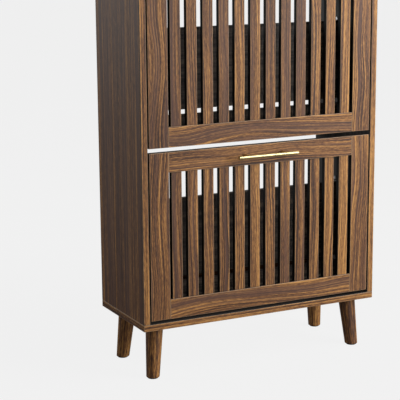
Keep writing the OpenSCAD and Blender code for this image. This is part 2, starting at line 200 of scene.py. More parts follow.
def settings():
    """The cabinet's settings in the current scene."""
    return bpy.context.scene.shoe_cabinet


# ---- Materials ----

class Value:
    """A socket of a node. Arithmetic on it adds Math nodes."""

    def __init__(self, nodes, socket):
        self.nodes = nodes
        self.socket = socket

    def _math(self, operation, first, second):
        return self.nodes.node("ShaderNodeMath", {"operation": operation}, {0: first, 1: second})

    def __add__(self, other):
        return self._math("ADD", self, other)

    def __sub__(self, other):
        return self._math("SUBTRACT", self, other)

    def __rsub__(self, other):
        return self._math("SUBTRACT", other, self)

    def __mul__(self, other):
        return self._math("MULTIPLY", self, other)

    __radd__ = __add__


class Nodes:
    """A node tree under construction."""

    def __init__(self, tree):
        self.tree = tree
        self.tree.nodes.clear()

    def node(self, kind, options=None, sockets=None, out=0):
        """Adds a node, sets its options and then its sockets, and returns one output."""
        made = self.tree.nodes.new(kind)
        for key, value in (options or {}).items():
            if key == "stops":
                ramp = made.color_ramp.elements
                while len(ramp) < len(value):
                    ramp.new(1.0)
                for element, (place, colour) in zip(ramp, value):
                    element.position = place
                    element.color = (*colour, 1.0)
            else:
                setattr(made, key, value)
        for key, value in (sockets or {}).items():
            if isinstance(value, Value):
                self.tree.links.new(value.socket, made.inputs[key])
            else:
                made.inputs[key].default_value = value
        return Value(self, made.outputs[out]) if made.outputs else None


class Finish(Nodes):
    """A material under construction."""

    def __init__(self, name):
        self.material = bpy.data.materials.new(name)
        self.material.use_nodes = True
        super().__init__(self.material.node_tree)
        self.sway = None

    def place(self, scale, shift=ORIGIN, sway=None):
        """Object coordinates, moved by sway and scaled along each axis."""
        spot = self.node("ShaderNodeTexCoord", out="Object")
        if sway:
            spot = self.node("ShaderNodeVectorMath", {"operation": "ADD"}, {0: spot, 1: sway})
        return self.node(
            "ShaderNodeMapping", None, {"Vector": spot, "Location": shift, "Scale": scale})

    def noise(self, scale, shift, detail, roughness, bend=0.0):
        """A noise whose grains are 1/scale metres long on each axis, moved by the sway."""
        spot = self.place(scale, shift, self.sway)
        return self.node("ShaderNodeTexNoise", None, {
            "Vector": spot, "Scale": 1.0, "Detail": detail, "Roughness": roughness,
            "Distortion": bend})

    def speckle(self, scale, detail, roughness):
        """A noise with the same scale on every axis."""
        return self.noise((scale, scale, scale), ORIGIN, detail, roughness)

    def mark(self, name):
        """An attribute of the faces or of the pieces set out."""
        return self.node("ShaderNodeAttribute", {"attribute_name": name}, out="Fac")

    def along(self, axis):
        """Object coordinate along one axis, named X, Y or Z."""
        return self.node("ShaderNodeSeparateXYZ", None, {0: self.place((1, 1, 1))}, axis)

    def between(self, value, low, high):
        """0 below low, 1 above high."""
        return self.node("ShaderNodeMapRange", {"interpolation_type": "SMOOTHSTEP"}, {
            "Value": value, "From Min": low, "From Max": high})

    def mix(self, share, first, second):
        """Two colours mixed."""
        ends = [end if isinstance(end, Value) else (*end, 1.0) for end in (first, second)]
        return self.node(
            "ShaderNodeMix", {"data_type": "RGBA"}, {0: share, 6: ends[0], 7: ends[1]}, 2)

    def bump(self, height, strength, distance):
        """A bump from a height."""
        return self.node("ShaderNodeBump", None, {
            "Height": height, "Strength": strength, "Distance": distance})

    def surface(self, **sockets):
        """Ends the material in a Principled surface. Socket names have _ for a space."""
        named = {key.replace("_", " "): value for key, value in sockets.items()}
        for key, value in named.items():
            if isinstance(value, (tuple, list)) and len(value) == 3:
                named[key] = (*value, 1.0)
        shader = self.node("ShaderNodeBsdfPrincipled", None, named)
        self.node("ShaderNodeOutputMaterial", None, {"Surface": shader})
        return self.material


def along_grain(axis, across, along):
    """Scales of a noise that runs along an axis."""
    scale = [across, across, across]
    scale[axis] = along
    return scale


# Layers of the walnut's figure: scale across and along the grain, detail, roughness, bend.
WALNUT_LAYERS = (
    (46.0, 0.6, 2.0, 0.5, 0.4),      # bands
    (230.0, 1.1, 3.0, 0.65, 0.15),   # streaks
    (520.0, 4.0, 2.0, 0.7, 0.1),     # threads
    (620.0, 75.0, 2.0, 0.7, 0.0),    # flecks
    (900.0, 40.0, 2.0, 0.6, 0.0),    # pores
    (13.0, 0.5, 1.0, 0.4, 0.0))      # hills, which the rings follow
VEIL_SHIFT = (3.1, 1.7, 5.3)
RING_TURNS = 48.0
# Taken from the sum of the layers, so that an even figure falls near the walnut's middle tone.
FIGURE_BASE = 0.99
# Painted shade: the dark strip behind the front edge of a side panel, from where to where it
# fades, and its colour.
SHADE_STRIP_FADE = (2 * MM, 6 * MM)
SHADE_STRIP_COLOUR = (0.016, 0.018, 0.020)


def walnut(name, axis, shift, light=0.0, grey=0.0, front_edge_shade=False, sway=0.0, lean=None):
    """Walnut foil with its grain along an axis.

    light moves every streak towards honey and grey adds mauve bands. front_edge_shade paints
    shade as a narrow dark strip on a side panel along its front edge. sway bends the grain of a
    door's face, in metres, and lean tilts the grain of a leg, in metres sideways for each metre
    of height. The tone attribute shifts a slat's tone, and worn marks the rounded edges,
    which get a painted highlight.
    """
    boards = settings().boards
    finish = Finish(name)
    if sway:
        drift = finish.noise(along_grain(axis, 5.0, 3.5), shift, 1.0, 0.4) * sway
        finish.sway = finish.node("ShaderNodeCombineXYZ", None, {Z - axis: drift})
    if lean:
        height = finish.along("Z")
        finish.sway = finish.node(
            "ShaderNodeCombineXYZ", None, {X: height * -lean[X], Y: height * -lean[Y]})
    bands, streaks, threads, flecks, pores, hills = [
        finish.noise(along_grain(axis, wide, long), shift, *rest)
        for wide, long, *rest in WALNUT_LAYERS]
    veil = finish.noise(along_grain(axis, 75.0, 0.7), VEIL_SHIFT, 3.0, 0.6, 0.3)
    rings = finish.node("ShaderNodeMath", {"operation": "SINE"}, {0: hills * RING_TURNS})
    tone = finish.mark("tone")
    worn = finish.mark("worn")
    lift = tone * 0.10 + (light - FIGURE_BASE)
    figure = bands * 0.34 + streaks * 0.92 + threads * 1.05 + flecks * 0.62
    figure = figure + (rings * 0.03 + lift)
    colour = finish.node("ShaderNodeValToRGB", {"stops": [
        (0.32, boards.umber), (0.505, boards.brown), (0.75, boards.honey)]}, {"Fac": figure})
    greying = finish.between(veil - tone * 0.09, 0.46 - grey, 0.60 - grey) * 0.62
    colour = finish.mix(greying, colour, boards.mauve)
    colour = finish.mix(finish.between(pores, 0.54, 0.66) * 0.5, colour, boards.umber)
    # Painted highlight: the rounded edges are mixed halfway towards straw, as if they caught the
    # light.
    colour = finish.mix(worn * 0.5, colour, boards.straw)
    # Painted shade: a dark strip along the front edge of a side panel's outer face.
    if front_edge_shade:
        start, stop = (CAD_FRONT + depth for depth in SHADE_STRIP_FADE)
        shade_strip = 1.0 - finish.between(finish.along("Y"), start, stop)
        colour = finish.mix(shade_strip * 0.75, colour, SHADE_STRIP_COLOUR)
    rough = 0.46 + streaks * 0.14 + pores * 0.08 - worn * 0.10
    relief = finish.bump(pores * 0.6 + threads * 0.4, 0.2, 0.0004)
    return finish.surface(
        Base_Color=colour, Roughness=rough, Normal=relief, Specular_IOR_Level=0.44)


def charcoal_foil(name, axis, shade=1.0, warm=0.0, smooth=0.46):
    """Dark foil with a faint printed grain along an axis. A low smooth gives it a sheen."""
    boards = settings().boards
    dark = [channel * shade for channel in boards.charcoal]
    lit = [dark[0] * (2.3 + warm), dark[1] * (2.2 + warm / 2), dark[2] * 2.1]
    finish = Finish(name)
    streaks = finish.noise(along_grain(axis, 90.0, 3.0), ORIGIN, 3.0, 0.6)
    grit = finish.speckle(1400.0, 2.0, 0.6)
    worn = finish.mark("worn")
    colour = finish.mix(finish.between(streaks, 0.38, 0.68), dark, lit)
    # Painted highlight: the rounded edges are mixed halfway towards the pale tone.
    colour = finish.mix(worn * 0.5, colour, lit)
    relief = finish.bump(grit * 0.6 + streaks * 0.4, 0.15, 0.0003)
    rough = smooth + grit * 0.14
    return finish.surface(
        Base_Color=colour, Roughness=rough, Normal=relief, Specular_IOR_Level=0.35)


def near_black_edge(name):
    """Near black on the side faces of the slats and the edges of the door frames."""
    finish = Finish(name)
    cloud = finish.speckle(160.0, 3.0, 0.6)
    scuff = finish.noise(along_grain(Z, 900.0, 60.0), ORIGIN, 2.0, 0.6)
    colour = finish.mix(cloud, (0.006, 0.005, 0.005), (0.016, 0.013, 0.012))
    relief = finish.bump(scuff, 0.12, 0.0003)
    return finish.surface(
        Base_Color=colour, Roughness=0.5 + scuff * 0.15, Normal=relief,
        Specular_IOR_Level=0.25)


def moulded_plastic(name):
    """Black plastic with a fine moulded grain."""
    dark, pale = (0.010, 0.010, 0.011), (0.022, 0.022, 0.024)
    finish = Finish(name)
    grain = finish.speckle(1800.0, 2.0, 0.65)
    flow = finish.noise(along_grain(Z, 22.0, 9.0), ORIGIN, 2.0, 0.5, 0.8)
    worn = finish.mark("worn")
    colour = finish.mix(finish.between(flow, 0.35, 0.7), dark, pale)
    # Painted highlight: the rounded edges are lighter.
    colour = finish.mix(worn * 0.6, colour, [channel * 2.5 for channel in pale])
    relief = finish.bump(grain, 0.25, 0.0003)
    return finish.surface(
        Base_Color=colour, Roughness=0.42 + grain * 0.2, Normal=relief)


def brushed_metal(name, colour, axis, rough):
    """Metal brushed along an axis, a little duller in cloudy patches."""
    finish = Finish(name)
    lines = finish.noise(along_grain(axis, 3000.0, 60.0), ORIGIN, 2.0, 0.6)
    cloud = finish.speckle(90.0, 3.0, 0.6)
    dull = [channel * 0.8 for channel in colour]
    tint = finish.mix(finish.between(cloud, 0.35, 0.7), colour, dull)
    relief = finish.bump(lines, 0.02, 0.0001)
    return finish.surface(
        Base_Color=tint, Metallic=1.0, Roughness=rough - 0.06 + cloud * 0.08 + lines * 0.08,
        Normal=relief)


def turned_beech(name):
    """Raw beech of the dowels, with short flecks."""
    finish = Finish(name)
    flecks = finish.speckle(1400.0, 3.0, 0.6)
    cloud = finish.speckle(120.0, 2.0, 0.5)
    colour = finish.mix(cloud, (0.62, 0.40, 0.22), (0.72, 0.52, 0.32))
    colour = finish.mix(finish.between(flecks, 0.6, 0.7) * 0.5, colour, (0.42, 0.24, 0.12))
    return finish.surface(
        Base_Color=colour, Roughness=0.6 + flecks * 0.15,
        Normal=finish.bump(flecks, 0.2, 0.0003))


MADE = {}


def shared(name, build, *values):
    """A material that several pieces share, built the first time it is asked for."""
    if name not in MADE:
        MADE[name] = build(name, *values)
    return MADE[name]


def zinc_plate():
    """The zinc plated steel of the screws, pins and bolts."""
    return shared("zinc_plated_steel", brushed_metal, settings().fittings.steel, Z, 0.36)


# ---- Meshes ----

def add_object(name, data):
    """A new object in the scene."""
    made = bpy.data.objects.new(name, data)
    bpy.context.scene.collection.objects.link(made)
    return made


def add_piece(name, mesh, nodes):
    """Puts a finished mesh in the scene in place of its nodes, on their body."""
    piece = add_object(name, mesh)
    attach(piece, BODY_OF[nodes[0]])
    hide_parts(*nodes)
    return piece


def smooth_piece(piece, angle=math.radians(35)):
    """Smooth shading that keeps flat faces flat."""
    piece.data.shade_smooth()
    piece.data.set_sharp_from_angle(angle=angle)
    even = piece.modifiers.new("Even shading", "WEIGHTED_NORMAL")
    even.keep_sharp = True
    return piece


def on_outline(edge, low, high):
    """True for an edge that lies on an edge of the box from low to high."""
    a, b = (corner.co for corner in edge.verts)
    held = 0
    for axis in (X, Y, Z):
        for limit in (low[axis], high[axis]):
            if abs(a[axis] - limit) < WELD and abs(b[axis] - limit) < WELD:
                held += 1
    return held >= 2


def is_long_corner(edge, shortest=4 * MM, angle=math.radians(50)):
    """True for a long edge where two faces meet at a corner."""
    return (len(edge.link_faces) == 2 and edge.calc_length() > shortest
            and edge.calc_face_angle(0.0) > angle)


def welded(node):
    """A bmesh of a node's own shape, welded."""
    form = bmesh.new()
    form.from_mesh(NODES[node].data)
    bmesh.ops.remove_doubles(form, verts=form.verts, dist=WELD)
    return form


def clean_copy(node):
    """A welded bmesh of a node's own shape, with each flat face in one."""
    form = welded(node)
    bmesh.ops.dissolve_limit(form, angle_limit=FLAT, verts=form.verts, edges=form.edges)
    return form


def ease(form, edges, radius, steps):
    """Rounds edges and marks the new faces for a painted highlight."""
    worn = form.faces.layers.float.new("worn")
    rounded = bmesh.ops.bevel(
        form, geom=edges, offset=radius, offset_type="OFFSET", segments=steps, profile=0.5,
        affect="EDGES", clamp_overlap=True)
    for face in rounded["faces"]:
        face[worn] = 1.0


def bare_mesh(form, name):
    """Turns a bmesh into a mesh without materials."""
    mesh = bpy.data.meshes.new(name)
    form.to_mesh(mesh)
    form.free()
    return mesh


def only_material(_):
    """Picks the first material for every face."""
    return 0


def to_mesh(form, name, materials, choose=only_material):
    """Turns a bmesh into a mesh and gives each face the material that choose picks."""
    form.normal_update()
    for face in form.faces:
        face.material_index = choose(face)
    mesh = bare_mesh(form, name)
    for material in materials:
        mesh.materials.append(material)
    return mesh


def finish_piece(node, form, materials, choose=only_material, angle=math.radians(35)):
    """Puts a finished form in the scene in place of its node."""
    name = f"finished_{node}"
    mesh = to_mesh(form, name, materials, choose)
    return smooth_piece(add_piece(name, mesh, [node]), angle)


def eased_piece(node, materials, choose=only_material, pick=None, radius=None):
    """A finished copy of a board's node with rounded edges."""
    boards = settings().boards
    low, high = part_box(node)
    form = clean_copy(node)
    if pick is None:
        edges = [edge for edge in form.edges if on_outline(edge, low, high)]
    else:
        edges = [edge for edge in form.edges if pick(edge)]
    ease(form, edges, radius or boards.edge_radius, boards.edge_steps)
    return finish_piece(node, form, materials, choose)


def add_ring(form, radius, level, steps, lean=(0.0, 0.0)):
    """Corners of a level circle, moved sideways by lean for each metre of height."""
    turns = [2 * math.pi * i / steps for i in range(steps)]
    return [form.verts.new((
        radius * math.cos(turn) + lean[X] * level,
        radius * math.sin(turn) + lean[Y] * level, level)) for turn in turns]


def join_rings(form, first, second):
    """Faces between two rings with the same number of corners."""
    for i in range(len(first)):
        k = (i + 1) % len(first)
        form.faces.new((first[i], first[k], second[k], second[i]))


def lathe(profile, steps, axis=Z, centre=ORIGIN, lean=(0.0, 0.0)):
    """A closed turned shape. profile is (radius, height) from its lower to its upper end.

    lean moves the centre sideways for each metre of height.
    """
    form = bmesh.new()
    rings = [add_ring(form, radius, height, steps, lean) for radius, height in profile]
    for below, above in zip(rings, rings[1:]):
        join_rings(form, below, above)
    form.faces.new(list(reversed(rings[0])))
    form.faces.new(rings[-1])
    turns = {X: Matrix.Rotation(math.pi / 2, 4, "Y"), Y: Matrix.Rotation(-math.pi / 2, 4, "X")}
    if axis in turns:
        bmesh.ops.transform(form, matrix=turns[axis], verts=form.verts)
    bmesh.ops.translate(form, vec=Vector(centre), verts=form.verts)
    bmesh.ops.recalc_face_normals(form, faces=form.faces)
    return form


def chamfered_rod(radius, length, chamfer, axis, centre, steps):
    """A rod with chamfered and slightly rounded ends, centred on its length."""
    half = length / 2
    soft = chamfer / 3
    dip = soft * 0.3
    lower = [
        (radius - chamfer - soft, -half), (radius - chamfer, -half + dip),
        (radius - dip, -half + chamfer), (radius, -half + chamfer + soft)]
    upper = [(wide, -level) for wide, level in reversed(lower)]
    return lathe(lower + upper, steps, axis, centre)


def islands(node):
    """Lowest and highest corners of each separate solid of a node, sorted."""
    form = welded(node)
    left = set(form.verts)
    boxes = []
    while left:
        queue = [left.pop()]
        spots = []
        while queue:
            corner = queue.pop()
            spots.append(corner.co.copy())
            for edge in corner.link_edges:
                other = edge.other_vert(corner)
                if other in left:
                    left.remove(other)
                    queue.append(other)
        boxes.append(tuple(Vector([pick(spot[axis] for spot in spots) for axis in (X, Y, Z)])
                           for pick in (min, max)))
    form.free()
    return sorted(boxes, key=lambda box: tuple(round(value, 5) for value in box[0]))


# ---- Geometry Nodes ----

class Layout(Nodes):
    """A Geometry Nodes tree under construction, with named inputs."""

    def __init__(self, name, inputs):
        super().__init__(bpy.data.node_groups.new(name, "GeometryNodeTree"))
        sockets = self.tree.interface
        sockets.new_socket("Geometry", in_out="INPUT", socket_type="NodeSocketGeometry")
        for label, kind in inputs:
            sockets.new_socket(label, in_out="INPUT", socket_type=kind)
        sockets.new_socket("Geometry", in_out="OUTPUT", socket_type="NodeSocketGeometry")
        self.given = self.tree.nodes.new("NodeGroupInput")
        self.result = self.tree.nodes.new("NodeGroupOutput")

    def input(self, label):
        """One named input."""
        return Value(self, self.given.outputs[label])

    def end(self, geometry):
        """Links the result."""
        self.tree.links.new(geometry.socket, self.result.inputs[0])
        return self.tree


def set_out_tree():
    """Places a template at every point, facing as the point says, turned at random."""
    if "Set out" in bpy.data.node_groups:
        return bpy.data.node_groups["Set out"]
    layout = Layout("Set out", [
        ("Template", "NodeSocketObject"), ("Turn", "NodeSocketFloat"),
        ("Seed", "NodeSocketInt"), ("Face finish", "NodeSocketMaterial"),
        ("Edge finish", "NodeSocketMaterial")])
    template = layout.node(
        "GeometryNodeObjectInfo", {"transform_space": "ORIGINAL"},
        {"Object": layout.input("Template")}, "Geometry")
    facing = layout.node(
        "GeometryNodeInputNamedAttribute", {"data_type": "FLOAT_VECTOR"}, {"Name": "facing"})
    aligned = layout.node(
        "FunctionNodeAlignRotationToVector", {"axis": "Z"}, {"Vector": facing})
    spin = layout.node(
        "FunctionNodeRandomValue", {"data_type": "FLOAT"},
        {2: 0.0, 3: layout.input("Turn"), 8: layout.input("Seed")}, 1)
    turn = layout.node(
        "FunctionNodeAxisAngleToRotation", None, {"Axis": (0.0, 0.0, 1.0), "Angle": spin})
    facing_turned = layout.node(
        "FunctionNodeRotateRotation", {"rotation_space": "LOCAL"},
        {"Rotation": aligned, "Rotate By": turn})
    placed = layout.node("GeometryNodeInstanceOnPoints", None, {
        "Points": layout.input("Geometry"), "Instance": template, "Rotation": facing_turned})
    real = layout.node("GeometryNodeRealizeInstances", None, {"Geometry": placed})
    faced = layout.node("GeometryNodeSetMaterial", None, {
        "Geometry": real, "Material": layout.input("Face finish")})
    edge = layout.node(
        "GeometryNodeInputNamedAttribute", {"data_type": "BOOLEAN"}, {"Name": "edge"})
    return layout.end(layout.node("GeometryNodeSetMaterial", None, {
        "Geometry": faced, "Selection": edge, "Material": layout.input("Edge finish")}))


def set_out(node, template, places, face_finish, edge_finish=None, turn=0.0, tones=None):
    """Repeats a template mesh at places, which are (point, facing), in place of a node."""
    name = f"finished_{node}"
    points = bpy.data.meshes.new(name)
    points.from_pydata([tuple(point) for point, _ in places], [], [])
    aim = points.attributes.new("facing", "FLOAT_VECTOR", "POINT")
    for i, (_, facing) in enumerate(places):
        aim.data[i].vector = facing
    if tones:
        tone = points.attributes.new("tone", "FLOAT", "POINT")
        for i, value in enumerate(tones):
            tone.data[i].value = value
    pattern = add_object(f"{name}_template", template)
    piece = add_object(name, points)
    repeat = piece.modifiers.new("Set out", "NODES")
    repeat.node_group = set_out_tree()
    given = {
        "Template": pattern, "Turn": turn, "Seed": settings().fittings.seed,
        "Face finish": face_finish, "Edge finish": edge_finish or face_finish}
    for item in repeat.node_group.interface.items_tree:
        if item.in_out == "INPUT" and item.name in given:
            repeat[item.identifier] = given[item.name]
    graph = bpy.context.evaluated_depsgraph_get()
    solid = bpy.data.meshes.new_from_object(
        piece.evaluated_get(graph), preserve_all_data_layers=True, depsgraph=graph)
    piece.modifiers.remove(repeat)
    piece.data = solid
    solid.name = name
    bpy.data.objects.remove(pattern)
    if len(solid.polygons) < len(places):
        raise RuntimeError(f"{name} came out empty")
    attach(piece, BODY_OF[node])
    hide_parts(node)
    return smooth_piece(piece)


# ---- Boards ----

def across(normal, axis):
    """True where a face looks along an axis, either way."""
    return abs(normal[axis]) > FACE_ON


def make_case_boards():
    """Side panels, top and bottom boards and back rails."""
    for side, out, light in (("left", -1, 0.04), ("right", 1, 0.13)):
        node = f"{side}_side_panel"
        # Painted shade and sheen: the outer faces get a darker, greyer walnut than the other
        # boards.
        foil = walnut(f"{side}_side_walnut", Z, (0.4 * out, 2.0, 0.3), -0.02, 0.05, True)
        inner = shared("inner_charcoal_upright", charcoal_foil, Z)
        edge = walnut(f"{side}_side_edge_walnut", Z, (0.7 * out, 5.0, 0.1), light, -0.1)

        def choose(face, out=out):
            if abs(face.normal.x) < SQUARE_ON:
                return 2
            return 0 if face.normal.x * out > 0 else 1

        eased_piece(node, [foil, inner, edge], choose)
    for node, inner_z, shift in (("top_board", -1, 1.3), ("bottom_board", 1, 4.1)):
        foil = walnut(f"{node}_walnut", X, (shift, 0.2, 0.7), 0.06, -0.1)
        inner = shared("inner_charcoal_level", charcoal_foil, X)
        end = shared("board_end_walnut", walnut, Y, (0.3, 6.1, 0.9), 0.08, -0.1)

        def pick_foil(face, inner_z=inner_z):
            if abs(face.normal.x) > SQUARE_ON:
                return 2
            return int(face.normal.z * inner_z > SQUARE_ON)

        eased_piece(node, [foil, inner, end], pick_foil)
    for name in ("top", "middle", "bottom"):
        foil = shared("rail_walnut", walnut, X, (7.7, 0.4, 0.1), -0.05)
        eased_piece(f"{name}_back_rail", [foil])


# Each frame part's grain axis, place in the figure, and its light and grey.
FRAME_PARTS = (
    ("left_stile", Z, 0.9, -0.02, -0.01), ("right_stile", Z, 2.6, 0.06, 0.00),
    ("top_rail", X, 6.7, 0.02, -0.02), ("bottom_rail", X, 8.9, 0.05, -0.03))
# How far apart in the figure the two doors are.
DOOR_SHIFT = 12.3


def make_door_frames():
    """Stiles and rails, walnut on their faces and near black on their edges."""
    dark_edges = shared("black_edge_band", near_black_edge)
    for tier in TIERS:
        for part, axis, shift, light, grey in FRAME_PARTS:
            node = f"{tier}_{part}"
            lift = shift if tier == "upper" else shift + DOOR_SHIFT
            foil = walnut(f"{node}_walnut", axis, (lift, 0.5, lift / 3), light, grey, sway=0.06)
            eased_piece(node, [foil, dark_edges], lambda face: 0 if across(face.normal, Y) else 1)


# Tones of the slats from left to right, from greyer and darker to lighter and yellower.
SLAT_TONES = (-0.4, -0.1, 0.5, -0.2, 0.9, 0.5, -0.2, -0.5, -0.1, 0.5, 0.6, 1.1)


def slat_template(size, steps, radius):
    """One slat, standing on its lower end with its middle over the origin."""
    form = bmesh.new()
    bmesh.ops.create_cube(form, size=1.0)
    bmesh.ops.scale(form, vec=size, verts=form.verts)
    bmesh.ops.translate(form, vec=(0, 0, size[Z] / 2), verts=form.verts)
    uprights = [edge for edge in form.edges
                if abs(edge.verts[0].co.z - edge.verts[1].co.z) > size[Z] / 2]
    ease(form, uprights, radius, steps)
    form.normal_update()
    edge = form.faces.layers.bool.new("edge")
    for face in form.faces:
        face[edge] = not across(face.normal, Y)
    return bare_mesh(form, "slat")


def make_slats():
    """The row of slats in each door."""
    boards = settings().boards
    dark_edges = shared("black_edge_band", near_black_edge)
    for tier in TIERS:
        node = f"{tier}_slats"
        boxes = islands(node)
        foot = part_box(f"{tier}_bottom_rail")[1].z
        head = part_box(f"{tier}_top_rail")[0].z
        low, high = boxes[0]
        size = (high.x - low.x, high.y - low.y, head - foot)
        places = [(Vector(((a.x + b.x) / 2, (a.y + b.y) / 2, foot)), (0, 0, 1))
                  for a, b in boxes]
        spread = settings().slats.tone_spread
        tones = [SLAT_TONES[i % len(SLAT_TONES)] * spread for i in range(len(places))]
        light, grey = (-0.03, 0.0) if tier == "upper" else (-0.005, -0.05)
        foil = walnut(f"{tier}_slat_walnut", Z, (0.0, 0.6, 1.9), light, grey, sway=0.03)
        template = slat_template(size, boards.edge_steps, boards.edge_radius)
        set_out(node, template, places, foil, dark_edges, tones=tones)


def leg_ends(node):
    """Centre and radius of a leg at its lower and at its upper end."""
    low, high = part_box(node)
    ends = []
    for level in (low.z, high.z):
        ring = [v.co for v in NODES[node].data.vertices if abs(v.co.z - level) < WELD]
        left, right = min(p.x for p in ring), max(p.x for p in ring)
        front, back = min(p.y for p in ring), max(p.y for p in ring)
        ends.append((Vector(((left + right) / 2, (front + back) / 2, level)),
                     min(right - left, back - front) / 2))
    return ends


# Faces round a leg, steps of its rounded foot, and steps up its length.
LEG_ROUND, FOOT_STEPS, LEG_STEPS = 72, 5, 12


def make_legs():
    """Round tapered legs that lean out, rounded at the foot."""
    soft = settings().fittings.foot_round
    for end in ("front", "back"):
        for side in SIDES:
            node = f"{end}_{side}_leg"
            (foot, foot_r), (head, head_r) = leg_ends(node)
            height = head.z - foot.z
            lean = ((head.x - foot.x) / height, (head.y - foot.y) / height)
            profile = [(foot_r - soft, 0.0)]
            for i in range(1, FOOT_STEPS + 1):
                turn = math.pi / 2 * i / FOOT_STEPS
                profile.append((
                    foot_r - soft + soft * math.sin(turn), soft * (1 - math.cos(turn))))
            for i in range(1, LEG_STEPS + 1):
                level = soft + (height - soft) * i / LEG_STEPS
                profile.append((foot_r + (head_r - foot_r) * level / height, level))
            form = lathe(profile, LEG_ROUND, Z, foot, lean)
            # Painted light: the back legs get a lighter walnut, to lift the shade they stand in
            # under the back of the cabinet.
            light = 0.09 if foot.y > 0 else -0.01
            wood = walnut(
                f"{node}_walnut", Z, (foot.x * 9, foot.y * 7, 1.0), light, -0.05, lean=lean)
            finish_piece(node, form, [wood], angle=math.radians(50))


# ---- Handles ----

# Faces round a handle bar, and round posts, pins and glides.
BAR_ROUND, SMALL_ROUND = 64, 40


def make_handles():
    """A brushed bar and two posts on each door."""
    handles = settings().handles
    brass = shared("brushed_brass", brushed_metal, handles.brass, X, 0.33)
    for tier in TIERS:
        low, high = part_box(f"{tier}_handle_bar")
        radius = (high.z - low.z) / 2
        bar = chamfered_rod(
            radius, high.x - low.x, handles.end_chamfer, X, (low + high) / 2, BAR_ROUND)
        finish_piece(f"{tier}_handle_bar", bar, [brass], angle=math.radians(40))
        node = f"{tier}_handle_posts"
        boxes = islands(node)
        length = boxes[0][1].y - boxes[0][0].y
        wide = (boxes[0][1].x - boxes[0][0].x) / 2
        soft = handles.end_chamfer / 2
        profile = [(wide - soft, 0.0), (wide, soft), (wide, length - soft), (wide - soft, length)]
        template = to_mesh(lathe(profile, SMALL_ROUND), "post", [brass])
        places = [(Vector(((a.x + b.x) / 2, b.y, (a.z + b.z) / 2)), (0, -1, 0))
                  for a, b in boxes]
        set_out(node, template, places, brass)


# ---- Trays ----

def make_trays():
    """Moulded sides, a sloping floor and a back board for each door's tray."""
    plastic = shared("black_moulded_plastic", moulded_plastic)
    foil = shared("tray_foil", charcoal_foil, X, 2.4, 0.5, 0.26)
    for tier in TIERS:
        for side in SIDES:
            eased_piece(
                f"{tier}_tray_{side}_side", [plastic], pick=is_long_corner, radius=0.6 * MM)
        for board in ("floor", "back"):
            eased_piece(
                f"{tier}_tray_{board}", [foil],
                pick=lambda edge: is_long_corner(edge, 10 * MM))


# ---- Fittings ----

# A cross recess: half width of an arm as a share of its length, and how far its floor narrows.
ARM_WIDTH, FLOOR_SHARE = 0.26, 0.55
# Deepest recess, as shares of the head's radius and of the whole length.
DEPTH_OF_RADIUS, DEPTH_OF_LENGTH = 0.6, 0.4
# A screw's shank and how far the head slopes down to it, as shares of the head's radius.
SHANK_SHARE, SLOPE_SHARE = 0.55, 0.45


def recessed_head(radius, length, share, rim=0.0, steps=32):
    """A round head at the origin facing +Z, with a cross recess, and a body below it.

    With a rim, the body is a drum as wide as the head. Without one, it is a screw's shank.
    """
    arm = radius * share
    web = arm * ARM_WIDTH
    depth = min(radius * DEPTH_OF_RADIUS, length * DEPTH_OF_LENGTH)
    cross = [(arm, -web), (arm, web), (web, web), (web, arm), (-web, arm), (-web, web),
             (-arm, web), (-arm, -web), (-web, -web), (-web, -arm), (web, -arm), (web, -web)]
    form = bmesh.new()
    edge = add_ring(form, radius - rim, 0.0, steps)
    mouth = [form.verts.new((x, y, 0.0)) for x, y in cross]
    pit = [form.verts.new((x * FLOOR_SHARE, y * FLOOR_SHARE, -depth)) for x, y in cross]
    loops = [form.edges.new((ring[i], ring[(i + 1) % len(ring)]))
             for ring in (edge, mouth) for i in range(len(ring))]
    bmesh.ops.triangle_fill(form, use_beauty=True, edges=loops)
    join_rings(form, mouth, pit)
    form.faces.new(pit)
    if rim:
        body = [(radius, -rim), (radius, -length * 0.25), (radius, -length)]
    else:
        shank = radius * SHANK_SHARE
        body = [(shank, -radius * SLOPE_SHARE), (shank, -length)]
    below = edge
    for size, level in body:
        ring = add_ring(form, size, level, steps)
        join_rings(form, below, ring)
        below = ring
    form.faces.new(below)
    bmesh.ops.recalc_face_normals(form, faces=form.faces)
    return bare_mesh(form, "head")


def screw_place(low, high):
    """Where a screw's head is and the way it faces: backwards, down, or out to the side."""
    size = high - low
    axis = max((X, Y, Z), key=lambda k: size[k])
    middle = (low + high) / 2
    facing = Vector((0.0, 0.0, 0.0))
    if axis == X:
        facing.x = math.copysign(1.0, middle.x)
    else:
        facing[axis] = 1.0 if axis == Y else -1.0
    middle[axis] = high[axis] if facing[axis] > 0 else low[axis]
    return middle, facing


def make_screws():
    """Every screw with a cross recess in its head."""
    share = settings().fittings.recess_share
    zinc = zinc_plate()
    nodes = ["base_screws"]
    for tier in TIERS:
        nodes += [f"{tier}_handle_screws", f"{tier}_tray_screws"]
    for node in nodes:
        boxes = islands(node)
        size = boxes[0][1] - boxes[0][0]
        head, length = min(size) / 2, min(max(b - a) for a, b in boxes)
        template = recessed_head(head, length, share)
        places = [screw_place(low, high) for low, high in boxes]
        set_out(node, template, places, zinc, turn=math.pi / 2)


def make_cams():
    """Cam drums, their faces flush with the boards."""
    dull = [channel * 0.8 for channel in settings().fittings.steel]
    cast = shared("cast_zinc", brushed_metal, dull, Z, 0.45)
    boxes = islands("cam_locks")
    size = boxes[0][1] - boxes[0][0]
    template = recessed_head(max(size) / 2, min(size), 0.55, rim=0.5 * MM, steps=48)
    places = []
    for low, high in boxes:
        middle = (low + high) / 2
        if high.x - low.x < high.y - low.y:
            inner = math.copysign(1.0, -middle.x)
            middle.x = high.x if inner > 0 else low.x
            places.append((middle, Vector((inner, 0, 0))))
        else:
            middle.y = high.y
            places.append((middle, Vector((0, 1, 0))))
    set_out("cam_locks", template, places, cast, turn=math.pi / 2)


